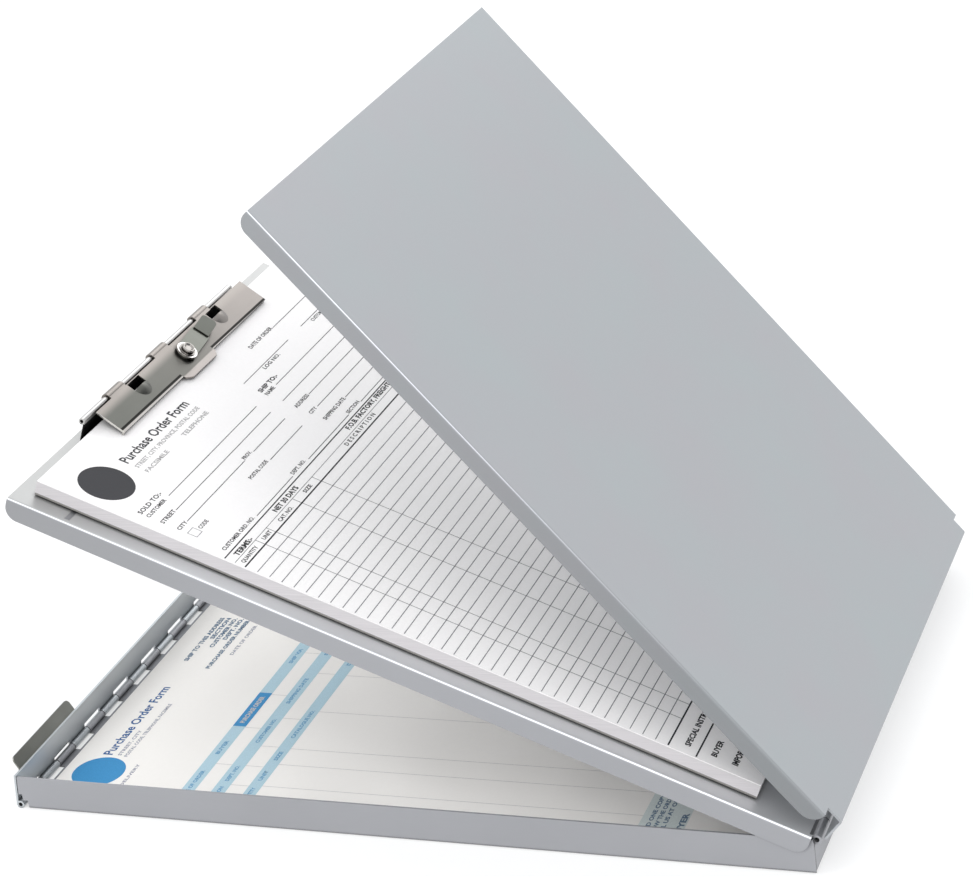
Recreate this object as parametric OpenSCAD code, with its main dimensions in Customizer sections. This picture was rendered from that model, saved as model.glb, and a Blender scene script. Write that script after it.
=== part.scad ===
// Storage clipboard box: a folded sheet tray, a hinged writing plate that closes
// over it, a cover over the plate on the same hinge, a drop gate at the far end
// and a sprung clip that holds a pad on the plate.
//
// The origin is the centre of the tray's underside. +X runs along the hinges,
// +Y runs from the three-leaf hinge to the gate, and +Z is up.

/* [Tray] */
// Outer width of the tray, along the hinges
tray_w = 224.4; // [200:0.1:260]
// Outer length of the tray, from its hinge end wall to the gate's knuckles
tray_l = 312.5; // [290:0.1:360]
// Height of the tray's side walls
wall_h = 13.7; // [13:0.1:25]
// Thickness of the aluminium sheet
sheet_t = 0.8; // [0.6:0.05:1]
// Outer radius of the folds in the sheet
bend_r = 1.1; // [1.05:0.05:2]
// Slit between a side wall and the hinge end wall
corner_slit = 0.35; // [0.3:0.05:1]

/* [Main hinge] */
// Outer radius of the knuckles that the tray, plate and cover share
knuckle_r = 1.8; // [1.5:0.05:2.2]
// Radius of the long hinge pin
pin_r = 0.95; // [0.7:0.05:1.1]
// Number of times the tray, plate, cover sequence of knuckles repeats
knuckle_sets = 6; // [3:1:10]
// Depth that each end of the long pin stays inside its knuckle
pin_recess = 2.5; // [1:0.1:5]

/* [Writing plate] */
// Gap along each side between the tray's wall and the plate's flange
flange_gap = 0.4; // [0.3:0.05:1]
// Distance from the hinge pin to the plate's free end
plate_l = 310.5; // [290:0.1:355]
// Depth of the plate's side flanges, measured from its top face
plate_flange = 8.1; // [5:0.1:10]
// Radius of the rounded ends of the plate's flanges
plate_corner_r = 5; // [2:0.1:6]
// Gap between the closed plate and the tops of the tray's walls
lid_gap = 0.15; // [0.1:0.05:0.5]
// Angle that the plate stands open at rest
plate_tilt = 22.5; // [15:0.1:40]
// Width of the pressed bead across the plate, in front of the clip
bead_w = 2.4; // [1:0.1:4]
// Depth of the pressed bead
bead_depth = 0.35; // [0.1:0.05:0.5]
// Distance from the writing plate's free end to the pressed bead
bead_inset = 23; // [21:0.1:60]

/* [Cover] */
// Distance from the hinge pin to the cover's free end
cover_l = 285.5; // [200:0.1:288]
// Height of the cover's top face above the hinge pin
cover_rise = 10.7; // [9.8:0.1:16]
// Depth of the cover's side flanges, measured from its top face
cover_flange = 6.6; // [5:0.1:7.5]
// Radius of the rounded ends of the cover's flanges
cover_corner_r = 6; // [2:0.1:6]
// Distance from the hinge pin to the hinge ends of the cover's flanges
cover_flange_start = 6.2; // [5:0.1:12]
// Amount by which the cover's hinge strip is narrower than the cover, on each side
strip_inset = 5.3; // [3:0.1:10]
// Angle that the cover stands open at rest
cover_tilt = 51.2; // [30:0.1:80]

/* [Gate] */
// Height of the gate's top edge above the tray's underside, when the gate is upright
gate_h = 14.2; // [13:0.1:25]
// Angle by which the closed gate leans in over the tray
gate_lean = 6.8; // [0:0.1:8]
// Outer radius of the gate hinge's knuckles
gate_knuckle_r = 1.6; // [1.4:0.05:2]
// Radius of the gate's pin
gate_pin_r = 0.8; // [0.6:0.05:0.9]
// Distance from one floor knuckle of the gate hinge to the next
gate_pitch = 25.4; // [20:0.1:40]
// Length of one floor knuckle
gate_knuckle_l = 12.4; // [8:0.1:15]
// Number of floor knuckles
gate_knuckles = 9; // [3:2:9]
// Gap between neighbouring knuckles of both hinges
knuckle_gap = 0.35; // [0.3:0.05:0.8]
// Height of the slots in the gate, above the tray's underside
gate_slot_h = 4.5; // [4:0.1:7]
// Width of the gap between the floor's edge and the gate's knuckles
floor_slot = 1.9; // [0.5:0.1:3]
// Height of the notch beside the gate's knuckles, in the ends of the side walls
wall_notch_h = 6.2; // [4:0.1:7]
// Length of the thumb tab, along the gate
tab_w = 44.9; // [20:0.1:60]
// Distance from the side of the tray to the middle of the thumb tab
tab_inset = 27.4; // [22:0.1:100]
// Thickness of the thumb tab and of the lock lever
tab_t = 0.6; // [0.4:0.05:0.8]
// Length of the thumb tab's raised strip
tab_rise = 5.2; // [3:0.1:8]
// Angle by which the raised strip leans outward
tab_lean = 36; // [10:1:45]
// Radius of the thumb tab's upper corners
tab_corner_r = 2.2; // [0.5:0.1:2.7]
// Radius of the rivets that hold the thumb tab
tab_rivet_r = 1.2; // [0.8:0.1:1.5]

/* [Clip] */
// Height of the clip's pin above the plate
clip_h = 10.3; // [9.8:0.1:14]
// Distance from the plate's free end to the clip's pin
clip_inset = 3.5; // [3:0.1:20]
// Outer radius of the jaw's knuckles
clip_knuckle_r = 2; // [1.6:0.05:2.2]
// Outer radius of the base's knuckles
base_knuckle_r = 1.25; // [1.2:0.05:1.6]
// Radius of the clip's pin
clip_pin_r = 0.65; // [0.5:0.05:0.65]
// Thickness of the clip's base plate
base_t = 0.5; // [0.4:0.05:0.6]
// Overall length of the clip's base, along its pin
base_w = 131; // [120:1:160]
// Depth of the base's foot, under the pad
foot_l = 19; // [12:0.1:30]
// Length of the jaw, along its pin
jaw_w = 129; // [110:1:150]
// Distance from the centre line to the middle of the jaw
jaw_x = 6.5; // [-10:0.1:10]
// Depth of the jaw, from its pin to its front edge
jaw_l = 14.6; // [13:0.1:20]
// Thickness of the jaw
jaw_t = 0.7; // [0.5:0.05:0.8]
// Depth of the jaw's turned-down lip, from its top face
jaw_lip = 1.6; // [1.2:0.05:2.2]
// Gap between the jaw's lip and the pad at rest
grip_gap = 0.15; // [0.1:0.05:0.5]
// Length of one knuckle of the jaw
jaw_knuckle_l = 12; // [8:0.1:16]
// Distance between the knuckles of the jaw
jaw_pitch = 37.5; // [25:0.1:42]
// Length of the windows in the jaw
window_w = 9.5; // [5:0.1:12]
// Depth of the windows in the jaw
window_l = 3.8; // [2:0.1:4.5]
// Distance from the middle of the jaw to each window
window_x = 34.8; // [28:0.1:50]
// Width of the lip by which the jaw is lifted
lift_w = 27; // [15:0.5:40]
// Length of the lip by which the jaw is lifted
lift_l = 3; // [2:0.1:6]
// Radius of the stud's washer
washer_r = 4.3; // [3:0.1:5]
// Radius of the stud's head
stud_r = 2.6; // [2:0.1:3.5]
// Height of the stud's head
stud_h = 1.8; // [1.2:0.1:3]
// Distance from the clip's pin to the stud
stud_y = 8.3; // [7:0.1:9]
// Width of the lock lever
lever_w = 8; // [6:0.1:9]
// Angle at which the lock lever rests, toward the clip's pin
lever_turn = 6; // [0:0.5:10]
// Distance from the stud to the bend of the lock lever
lever_l = 16.5; // [10:0.1:18]
// Length of the lock lever's finger tab
lever_tab_l = 8.8; // [6:0.1:12]
// Width of the lock lever's finger tab
lever_tab_w = 6.8; // [3:0.1:8]

/* [Paper] */
// Width of the paper
paper_w = 215.9; // [180:0.1:216]
// Length of the paper
paper_l = 279.4; // [200:0.1:280]
// Thickness of the pad with its backing board
pad_t = 5.9; // [2:0.1:6.2]
// Thickness of the pad's backing board
board_t = 0.8; // [0.5:0.1:1.5]
// Thickness of the pad's loose top sheet
top_sheet_t = 0.3; // [0.2:0.05:0.5]
// Distance from the pad's middle to the plate's centre line
pad_x = 2.6; // [0:0.1:3]
// Distance from the clip's pin to the pad
pad_gap = 3.4; // [3.2:0.1:15]
// Thickness of the forms that lie in the tray
forms_t = 1; // [0.5:0.1:4]
// Distance from the gate's pin to the forms
forms_gap = 5.1; // [4:0.1:20]
// Distance by which the form on top of the stack lies back from the gate
top_form_back = 0.9; // [0:0.1:5]

/* [Hidden] */
$fn = 48;

// A pin turns in its knuckles with this much room all round.
pin_clearance = 0.05;
// A cut reaches this far past the face that it starts from.
cut = 1;
// Two pieces of one sheet run this far into each other.
lap = 0.5;

// The end wall stands between the side walls, and the main hinge is as wide.
hinge_w = tray_w - 2 * (sheet_t + corner_slit);
knuckle_count = 3 * knuckle_sets + 1;
// The pitch is a whole number of hundredths of a millimetre, as a rolled hinge is listed.
knuckle_pitch = floor(100 * hinge_w / knuckle_count) / 100;
// A rolled knuckle stands this far proud of the face of its sheet.
knuckle_proud = 0.15;
// Distance from the main pin to the end wall's inner face, the plate's top and the cover's leaf.
leaf_r = knuckle_r - knuckle_proud;
// Distance from the clip's pin to the top face of its jaw.
jaw_top = clip_knuckle_r - knuckle_proud;
pin_y = sheet_t - leaf_r;
pin_z = wall_h + lid_gap + sheet_t - leaf_r;
// Round a knuckle of one leaf, the other leaves are cut away to this radius.
slot_r = knuckle_r + 1.1;

plate_w = tray_w + 2 * (flange_gap + sheet_t);
cover_w = plate_w;
// The pressed bead's section is an arc of this radius.
bead_r = (pow(bead_w / 2, 2) + pow(bead_depth, 2)) / (2 * bead_depth);
// Width of the cover's hinge strip.
strip_w = cover_w - 2 * strip_inset;
// The leaf leans out from the strip's fold until its outer face is tangent to the knuckles.
leaf_top = 1;

gate_pin_y = tray_l - gate_knuckle_r;
gate_pin_z = gate_knuckle_r;
// In the gate's frame its inner face lies here, in front of the ends of the side walls.
gate_face_y = gate_knuckle_r - sheet_t;
gate_top_z = gate_h - gate_pin_z;
gate_slot_z = gate_slot_h - gate_pin_z;
floor_end = gate_pin_y - gate_knuckle_r - floor_slot;
tab_x = tab_inset - tray_w / 2;
// The thumb tab lies on the gate's outer face, clear of the table when the gate is down.
tab_z = gate_knuckle_r;
tab_rivet_x = [for (side = [-1, 1]) tab_x + side * tab_w / 4];
tab_rivet_z = (gate_slot_z + gate_top_z) / 2;

// Distances from the main hinge pin to the clip's pin and to the pad's clip end.
clip_y = plate_l - clip_inset;
pad_y = clip_y - pad_gap;
// The pad lies on the foot of the clip's base.
pad_top = base_t + pad_t;
// The jaw leans down until its lip is grip_gap above the pad.
lip_w = jaw_top - jaw_lip;
jaw_reach = sqrt(pow(jaw_l, 2) + pow(lip_w, 2));
jaw_tilt = atan2(lip_w, jaw_l) + asin((clip_h - pad_top - grip_gap) / jaw_reach);
jaw_edge = base_knuckle_r + 0.35;

// The base's upright is tangent to the front of its knuckles.
upright_y = base_knuckle_r - base_t;
// The base's knuckles fill the pin between the jaw's knuckles, and reach its ends.
function jaw_edge_x(i, side) = jaw_x + jaw_knuckle_x(i) + side * (jaw_knuckle_l / 2 + knuckle_gap);
base_spans = [
    [-base_w / 2, jaw_edge_x(0, -1)],
    [jaw_edge_x(0, 1), jaw_edge_x(1, -1)],
    [jaw_edge_x(1, 1), jaw_edge_x(2, -1)],
    [jaw_edge_x(2, 1), base_w / 2]];
// Three rivets hold the base's foot.
clip_rivet_r = 1.5;
clip_rivet_inset = 4;
clip_rivet_x = [for (i = [-1 : 1]) i * base_w / 3];
// The strip of sheet between a window and the jaw's back edge.
window_rim = 0.3;
// The pressing in front of a window is a cap of a sphere.
pressing_h = 1.1;
pressing_r = (pow(window_w / 2, 2) + pow(pressing_h, 2)) / (2 * pressing_h);
// The stack on the stud, from the jaw up: a thin washer, the lever, a thick washer, the head.
stud_shank_r = 1.5;
washer_t = 0.8;
shim_t = 0.4;
lever_z = shim_t;
washer_z = lever_z + tab_t;
head_z = washer_z + washer_t;
// The lever's finger tab stands up at this angle, and has corners of this radius.
lever_bend = 12;
lever_tab_r = lever_tab_w / 4;

// ---------------------------------------------------------------- places

module on_tray() {
    translate([0, -tray_l / 2, 0]) children();
}

module on_main_hinge(angle) {
    on_tray() translate([0, pin_y, pin_z]) rotate([angle, 0, 0]) children();
}

// The gate's frame starts on the gate's pin: Z runs up the gate and Y out of it.
module on_gate() {
    on_tray() translate([0, gate_pin_y, gate_pin_z]) rotate([gate_lean, 0, 0]) children();
}

module on_plate() {
    on_main_hinge(plate_tilt) children();
}

module on_cover() {
    on_main_hinge(cover_tilt) children();
}

// The clip's frame starts on the plate's top face, under the clip's pin.
module on_clip() {
    on_plate() translate([0, clip_y, leaf_r]) children();
}

// The jaw's frame starts on the clip's pin.
module on_jaw() {
    on_clip() translate([0, 0, clip_h]) rotate([jaw_tilt, 0, 0]) translate([jaw_x, 0, 0]) children();
}

module on_stud() {
    on_jaw() translate([0, -stud_y, jaw_top]) children();
}

// ---------------------------------------------------------------- shapes

// Extrudes a (y, z) profile along X, centred.
module along_x(length) {
    rotate([90, 0, 90]) linear_extrude(length, center = true) children();
}

// Extrudes an (x, z) profile along Y, from zero.
module along_y(length) {
    translate([0, length, 0]) rotate([90, 0, 0]) linear_extrude(length) children();
}

module rod(r, length) {
    rotate([0, 90, 0]) cylinder(r = r, h = length, center = true);
}

// A rectangle that stands on the x axis, with its upper corners rounded.
module arched(width, height, r) {
    translate([-width / 2, 0]) square([width, height - r]);
    translate([-width / 2 + r, 0]) square([width - 2 * r, height]);
    for (side = [-1, 1]) translate([side * (width / 2 - r), height - r]) circle(r = r);
}

// The profile of a channel whose legs point down and stand on the x axis.
module channel(width, depth) {
    difference() {
        arched(width, depth, bend_r);
        translate([0, -cut]) arched(width - 2 * sheet_t, depth - sheet_t + cut, bend_r - sheet_t);
    }
}

// The profile of a fold whose outer corner is at the origin, with a floor and a wall.
module fold(floor_l, wall_l) {
    difference() {
        union() {
            translate([bend_r, 0]) square([floor_l - bend_r, sheet_t]);
            translate([0, bend_r]) square([sheet_t, wall_l - bend_r]);
            intersection() {
                translate([bend_r, bend_r]) circle(r = bend_r);
                square(bend_r);
            }
        }
        translate([bend_r, bend_r]) circle(r = bend_r - sheet_t);
    }
}

// Takes the sharp lower corner off a channel's flanges, leaving a round of radius r.
// The corner is at the origin and the flange runs toward +Y and +Z.
module flange_round(width, r) {
    difference() {
        translate([-width / 2 - cut, -cut, -cut]) cube([width + 2 * cut, r + cut, r + cut]);
        translate([0, r, r]) rod(r, width + 4 * cut);
    }
}

function knuckle_x(i) = (i - (knuckle_count - 1) / 2) * knuckle_pitch;
function knuckles_of(leaf) = [for (i = [leaf : 3 : knuckle_count - 1]) knuckle_x(i)];
function gate_knuckle_x(i) = (i - (gate_knuckles - 1) / 2) * gate_pitch;
function jaw_knuckle_x(i) = (i - 1) * jaw_pitch - jaw_x - 2;

// ---------------------------------------------------------------- tray

module tray_channel() {
    difference() {
        along_y(tray_l) translate([0, wall_h]) mirror([0, 1]) channel(tray_w, wall_h);
        translate([-hinge_w / 2 - corner_slit, -cut, -cut])
            cube([hinge_w + 2 * corner_slit, bend_r + cut, wall_h + 2 * cut]);
        gate_clearance();
    }
}

// The side walls end along the closed gate, with a stepped notch beside its knuckles.
module gate_clearance() {
    side = tray_w + 2 * cut;
    translate([0, gate_pin_y, gate_pin_z]) rotate([gate_lean, 0, 0])
        translate([-side / 2, gate_face_y - knuckle_gap, -wall_h]) cube([side, wall_h, 3 * wall_h]);
    translate([-side / 2, floor_end, -cut]) cube([side, tray_l, 2 * gate_knuckle_r + knuckle_gap + cut]);
    translate([-side / 2, gate_pin_y - gate_knuckle_r, -cut]) cube([side, tray_l, wall_notch_h + cut]);
}

module end_wall() {
    along_x(hinge_w) fold(bend_r + lap, pin_z - slot_r);
    for (x = knuckles_of(0)) {
        translate([x - (knuckle_pitch - knuckle_gap) / 2, 0, pin_z - slot_r - lap])
            cube([knuckle_pitch - knuckle_gap, sheet_t, slot_r + lap]);
        translate([x, pin_y, pin_z]) rod(knuckle_r, knuckle_pitch - knuckle_gap);
    }
}

module floor_knuckles() {
    for (i = [0 : gate_knuckles - 1]) {
        translate([gate_knuckle_x(i) - gate_knuckle_l / 2, floor_end - lap, 0])
            cube([gate_knuckle_l, gate_pin_y - floor_end + lap, sheet_t]);
        translate([gate_knuckle_x(i), gate_pin_y, gate_pin_z]) rod(gate_knuckle_r, gate_knuckle_l);
    }
}

module tray() {
    color("silver") on_tray() difference() {
        union() {
            tray_channel();
            end_wall();
            floor_knuckles();
        }
        translate([0, pin_y, pin_z]) rod(pin_r + pin_clearance, tray_w + 2 * cut);
        translate([0, gate_pin_y, gate_pin_z]) rod(gate_pin_r + pin_clearance, tray_w + 2 * cut);
    }
}

module hinge_pin() {
    color("dimgray") on_tray() translate([0, pin_y, pin_z]) rod(pin_r, hinge_w - 2 * pin_recess);
}

// ---------------------------------------------------------------- writing plate

// The plate's frame starts on the hinge pin: Y runs along the plate and Z out of its top face.
module plate_sheet() {
    flange_start = knuckle_r;
    flange_z = leaf_r - plate_flange;
    difference() {
        translate([0, flange_start, flange_z])
            along_y(plate_l - flange_start) channel(plate_w, plate_flange);
        translate([-hinge_w / 2 - corner_slit, -cut, 0])
            cube([hinge_w + 2 * corner_slit, slot_r + cut, knuckle_r + cut]);
        translate([0, flange_start, flange_z]) flange_round(plate_w, plate_corner_r);
        translate([0, plate_l, flange_z]) mirror([0, 1, 0]) flange_round(plate_w, plate_corner_r);
        translate([0, plate_l - bead_inset, leaf_r]) bead_groove(plate_w - 4 * bend_r);
    }
    translate([0, plate_l - bead_inset, leaf_r - sheet_t]) bead_ridge(tray_w - 2 * sheet_t - 2 * bend_r);
}

// A shallow round groove whose open side lies in the plane z = 0.
module bead_groove(length) {
    translate([0, 0, bead_r - bead_depth]) rod(bead_r, length);
}

// The same groove's underside, which stands out below the sheet.
module bead_ridge(length) {
    intersection() {
        translate([0, 0, bead_r - bead_depth]) rod(bead_r, length);
        translate([-length / 2, -bead_w, -bead_depth - cut]) cube([length, 2 * bead_w, bead_depth + cut + 0.1]);
    }
}

module leaf_knuckles(leaf) {
    for (x = knuckles_of(leaf)) translate([x, 0, 0]) rod(knuckle_r, knuckle_pitch - knuckle_gap);
}

module writing_plate() {
    color("gainsboro") on_plate() difference() {
        union() {
            plate_sheet();
            leaf_knuckles(1);
            for (x = knuckles_of(1)) translate([x - (knuckle_pitch - knuckle_gap) / 2, 0, leaf_r - sheet_t])
                cube([knuckle_pitch - knuckle_gap, slot_r + lap, sheet_t]);
        }
        rod(pin_r + pin_clearance, tray_w);
        for (x = clip_rivet_x) translate([x, clip_y - foot_l + clip_rivet_inset, leaf_r - sheet_t - cut])
            cylinder(r = clip_rivet_r, h = sheet_t + 2 * cut);
    }
}

// ---------------------------------------------------------------- cover

// The outline of the hinge strip and its leaf in (y, z).
module strip_profile() {
    polygon(concat(
        [[cover_flange_start + cover_corner_r, cover_rise - sheet_t],
            [cover_flange_start + cover_corner_r, cover_rise]],
        [for (a = [90 : 15 : 180]) [-leaf_top + bend_r + bend_r * cos(a), cover_rise - bend_r + bend_r * sin(a)]],
        [[-leaf_r, slot_r], [-leaf_r, 0], [-leaf_r + sheet_t, 0], [-leaf_r + sheet_t, slot_r],
            [-leaf_top + sheet_t, cover_rise - bend_r], [-leaf_top + bend_r, cover_rise - sheet_t]]));
}

// The leaf widens from the strip to the full width of the hinge.
module leaf_outline() {
    translate([0, cover_flange_start + cover_corner_r + cut, 0])
        rotate([90, 0, 0]) linear_extrude(cover_flange_start + cover_corner_r + knuckle_r + 2 * cut)
        polygon([[-hinge_w / 2, 0], [hinge_w / 2, 0], [hinge_w / 2, slot_r + cut],
            [strip_w / 2, cover_rise - bend_r], [strip_w / 2, cover_rise + cut],
            [-strip_w / 2, cover_rise + cut], [-strip_w / 2, cover_rise - bend_r],
            [-hinge_w / 2, slot_r + cut]]);
}

module cover_strip() {
    difference() {
        intersection() {
            along_x(hinge_w) strip_profile();
            leaf_outline();
        }
        for (i = [0 : knuckle_count - 1]) if (i % 3 != 2)
            translate([knuckle_x(i) - (knuckle_pitch + knuckle_gap) / 2, -knuckle_r - cut, -cut])
                cube([knuckle_pitch + knuckle_gap, 2 * knuckle_r, slot_r + cut]);
    }
}

module cover_panel() {
    difference() {
        translate([0, cover_flange_start, cover_rise - cover_flange])
            along_y(cover_l - cover_flange_start) channel(cover_w, cover_flange);
        translate([0, cover_flange_start, cover_rise - cover_flange]) flange_round(cover_w, cover_corner_r);
        translate([0, cover_l, cover_rise - cover_flange]) mirror([0, 1, 0])
            flange_round(cover_w, plate_corner_r);
    }
}

module cover() {
    color("lightgray") on_cover() difference() {
        union() {
            cover_panel();
            cover_strip();
            leaf_knuckles(2);
        }
        rod(pin_r + pin_clearance, tray_w);
    }
}

// ---------------------------------------------------------------- gate

module gate_wall() {
    difference() {
        translate([-tray_w / 2, gate_face_y, 0]) cube([tray_w, sheet_t, gate_top_z]);
        for (i = [0 : gate_knuckles - 1])
            translate([gate_knuckle_x(i) - gate_knuckle_l / 2 - knuckle_gap, gate_face_y - cut, -cut])
                cube([gate_knuckle_l + 2 * knuckle_gap, sheet_t + 2 * cut, gate_slot_z + cut]);
    }
}

module gate_knuckle_row() {
    across = 4 * gate_knuckle_r;
    difference() {
        rod(gate_knuckle_r, tray_w);
        for (i = [0 : gate_knuckles - 1])
            translate([gate_knuckle_x(i) - gate_knuckle_l / 2 - knuckle_gap, -across / 2, -across / 2])
                cube([gate_knuckle_l + 2 * knuckle_gap, across, across]);
    }
}

module gate() {
    color("darkgray") on_gate() difference() {
        union() {
            gate_wall();
            gate_knuckle_row();
        }
        rod(gate_pin_r + pin_clearance, tray_w + 2 * cut);
        for (x = tab_rivet_x) translate([x, gate_face_y - cut, tab_rivet_z])
            rotate([-90, 0, 0]) cylinder(r = tab_rivet_r, h = sheet_t + 2 * cut);
    }
}

module gate_pin() {
    color("dimgray") on_tray() translate([0, gate_pin_y, gate_pin_z])
        rod(gate_pin_r, tray_w - 2 * pin_recess);
}

// The raised strip starts at the gate's top edge and leans outward.
module tab_strip() {
    translate([tab_x, gate_knuckle_r, gate_top_z]) rotate([-tab_lean, 0, 0]) difference() {
        translate([-tab_w / 2, 0, 0]) cube([tab_w, tab_t, tab_rise]);
        for (side = [-1, 1]) translate([side * tab_w / 2, 0, tab_rise]) difference() {
            translate([-tab_corner_r, -cut, -tab_corner_r])
                cube([2 * tab_corner_r, tab_t + 2 * cut, 2 * tab_corner_r]);
            translate([-side * tab_corner_r, -2 * cut, -tab_corner_r])
                rotate([-90, 0, 0]) cylinder(r = tab_corner_r, h = tab_t + 4 * cut);
            translate([-side * 1.5 * tab_corner_r - tab_corner_r / 2, -2 * cut, -tab_corner_r])
                cube([tab_corner_r, tab_t + 4 * cut, 2 * tab_corner_r]);
        }
    }
}

module thumb_tab() {
    color("dimgray") on_gate() difference() {
        union() {
            translate([tab_x - tab_w / 2, gate_knuckle_r, tab_z]) cube([tab_w, tab_t, gate_top_z - tab_z]);
            tab_strip();
        }
        for (x = tab_rivet_x) translate([x, gate_knuckle_r - cut, tab_rivet_z])
            rotate([-90, 0, 0]) cylinder(r = tab_rivet_r, h = tab_t + 2 * cut);
    }
}

// Flat-headed rivets through the gate and the tab, flush on the inside.
module tab_rivets() {
    color("gray") on_gate() for (x = tab_rivet_x) translate([x, gate_face_y, tab_rivet_z])
        rotate([-90, 0, 0]) {
            cylinder(r = tab_rivet_r, h = sheet_t + tab_t + 0.4);
            translate([0, 0, sheet_t + tab_t]) cylinder(r = 1.6 * tab_rivet_r, h = 0.4);
        }
}

// ---------------------------------------------------------------- clip

// The upright stands in front of the pin and meets the base's knuckles at their front.
module base_sheet() {
    upright_h = clip_h - clip_knuckle_r - 0.5;
    translate([-base_w / 2, -foot_l, 0]) cube([base_w, foot_l - upright_y, base_t]);
    translate([-base_w / 2, -upright_y - base_t, 0]) cube([base_w, base_t, upright_h]);
    for (span = base_spans) translate([span[0], -upright_y - base_t, upright_h - lap])
        cube([span[1] - span[0], base_t, clip_h - upright_h + lap]);
}

module clip_base() {
    color("slategray") on_clip() difference() {
        union() {
            base_sheet();
            for (span = base_spans) translate([(span[0] + span[1]) / 2, 0, clip_h])
                rod(base_knuckle_r, span[1] - span[0]);
        }
        translate([0, 0, clip_h]) rod(clip_pin_r + pin_clearance, base_w + 2 * cut);
        for (x = clip_rivet_x) translate([x, clip_rivet_inset - foot_l, -cut])
            cylinder(r = clip_rivet_r, h = base_t + 2 * cut);
    }
}

// Rivets through the foot and the plate, flush under the pad and headed below the plate.
module clip_rivets() {
    color("gray") on_clip() for (x = clip_rivet_x) translate([x, clip_rivet_inset - foot_l, 0]) {
        translate([0, 0, -sheet_t - 0.5]) cylinder(r = clip_rivet_r, h = base_t + sheet_t + 0.5);
        translate([0, 0, -sheet_t - 0.8]) cylinder(r1 = clip_rivet_r, r2 = 1.7 * clip_rivet_r, h = 0.8);
    }
}

module clip_pin() {
    color("gray") on_clip() translate([0, 0, clip_h]) rod(clip_pin_r, base_w - 4);
}

module jaw_window() {
    translate([-window_w / 2, -window_l, -cut]) cube([window_w, window_l, clip_knuckle_r + 2 * cut]);
}

// A half-moon pressing stands up in front of each window, as wide as the window.
module jaw_pressing() {
    intersection() {
        translate([0, 0, pressing_h - pressing_r]) sphere(r = pressing_r);
        translate([-window_w, -window_w, -jaw_t / 2]) cube([2 * window_w, window_w, 2 * jaw_t + pressing_h]);
    }
}

module jaw_sheet() {
    difference() {
        translate([-jaw_w / 2, -jaw_l, jaw_top - jaw_t]) cube([jaw_w, jaw_l - jaw_edge, jaw_t]);
        for (side = [-1, 1]) translate([side * window_x, -jaw_edge - window_rim, 0]) jaw_window();
        translate([0, -stud_y, 0]) cylinder(r = stud_shank_r, h = 3 * jaw_top);
    }
    translate([-jaw_w / 2, -jaw_l, lip_w]) cube([jaw_w, jaw_t, jaw_top - lip_w]);
    for (i = [0 : 2]) translate([jaw_knuckle_x(i) - jaw_knuckle_l / 2, -jaw_edge - lap, jaw_top - jaw_t])
        cube([jaw_knuckle_l, jaw_edge + lap, jaw_t]);
}

// The lip by which a thumb lifts the jaw has cut corners and turns up a little.
module lift_lip() {
    translate([0, -jaw_l, jaw_top]) rotate([-16, 0, 0]) translate([0, 0, -jaw_t])
        linear_extrude(jaw_t) polygon([[-lift_w / 2, lap], [-lift_w / 2, -lift_l / 3],
            [-lift_w / 2 + lift_l, -lift_l], [lift_w / 2 - lift_l, -lift_l],
            [lift_w / 2, -lift_l / 3], [lift_w / 2, lap]]);
}

module clip_jaw() {
    color("darkgray") on_jaw() difference() {
        union() {
            jaw_sheet();
            lift_lip();
            for (side = [-1, 1]) translate([side * window_x, -jaw_edge - window_rim - window_l, jaw_top])
                jaw_pressing();
            for (i = [0 : 2]) translate([jaw_knuckle_x(i), 0, 0]) rod(clip_knuckle_r, jaw_knuckle_l);
        }
        rod(clip_pin_r + pin_clearance, jaw_w);
    }
}

// The head is a flange, a neck and a ring with a hollow middle.
module stud_head() {
    flange_h = stud_h / 4;
    neck_h = stud_h / 6;
    ring_h = stud_h - flange_h - neck_h;
    cylinder(r = stud_r + 0.7, h = flange_h);
    cylinder(r = stud_r - 0.3, h = stud_h - ring_h);
    translate([0, 0, stud_h - ring_h]) difference() {
        union() {
            cylinder(r = stud_r, h = ring_h / 2);
            translate([0, 0, ring_h / 2]) cylinder(r1 = stud_r, r2 = stud_r - 0.3, h = ring_h / 2);
        }
        translate([0, 0, ring_h / 2]) cylinder(r1 = stud_r - 1.4, r2 = stud_r - 0.6, h = ring_h / 2 + 0.01);
    }
}

module stud() {
    color("silver") on_stud() {
        translate([0, 0, -jaw_t]) cylinder(r = stud_shank_r, h = jaw_t + head_z + stud_h / 2);
        translate([0, 0, head_z]) stud_head();
    }
}

module washer(r, thickness) {
    difference() {
        cylinder(r = r, h = thickness);
        translate([0, 0, -cut]) cylinder(r = stud_shank_r, h = thickness + 2 * cut);
    }
}

module stud_washer() {
    color("gainsboro") on_stud() translate([0, 0, washer_z]) washer(washer_r, washer_t);
}

// It lifts the lever clear of the clip's knuckles, over which the lever swings.
module lever_washer() {
    color("gainsboro") on_stud() washer(lever_w / 2 - 0.3, shim_t);
}

// The finger tab is the lever's end, folded back on itself to twice its thickness.
module lever_tab() {
    straight = lever_tab_l - lever_tab_r;
    translate([-lap, -lever_tab_w / 2, 0]) cube([lap + straight, lever_tab_w, tab_t]);
    translate([0, -lever_tab_w / 2, 0]) cube([straight, lever_tab_w, 2 * tab_t]);
    translate([0, lever_tab_r - lever_tab_w / 2, 0])
        cube([lever_tab_l, lever_tab_w - 2 * lever_tab_r, 2 * tab_t]);
    for (side = [-1, 1]) translate([straight, side * (lever_tab_w / 2 - lever_tab_r), 0])
        cylinder(r = lever_tab_r, h = 2 * tab_t);
}

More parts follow.
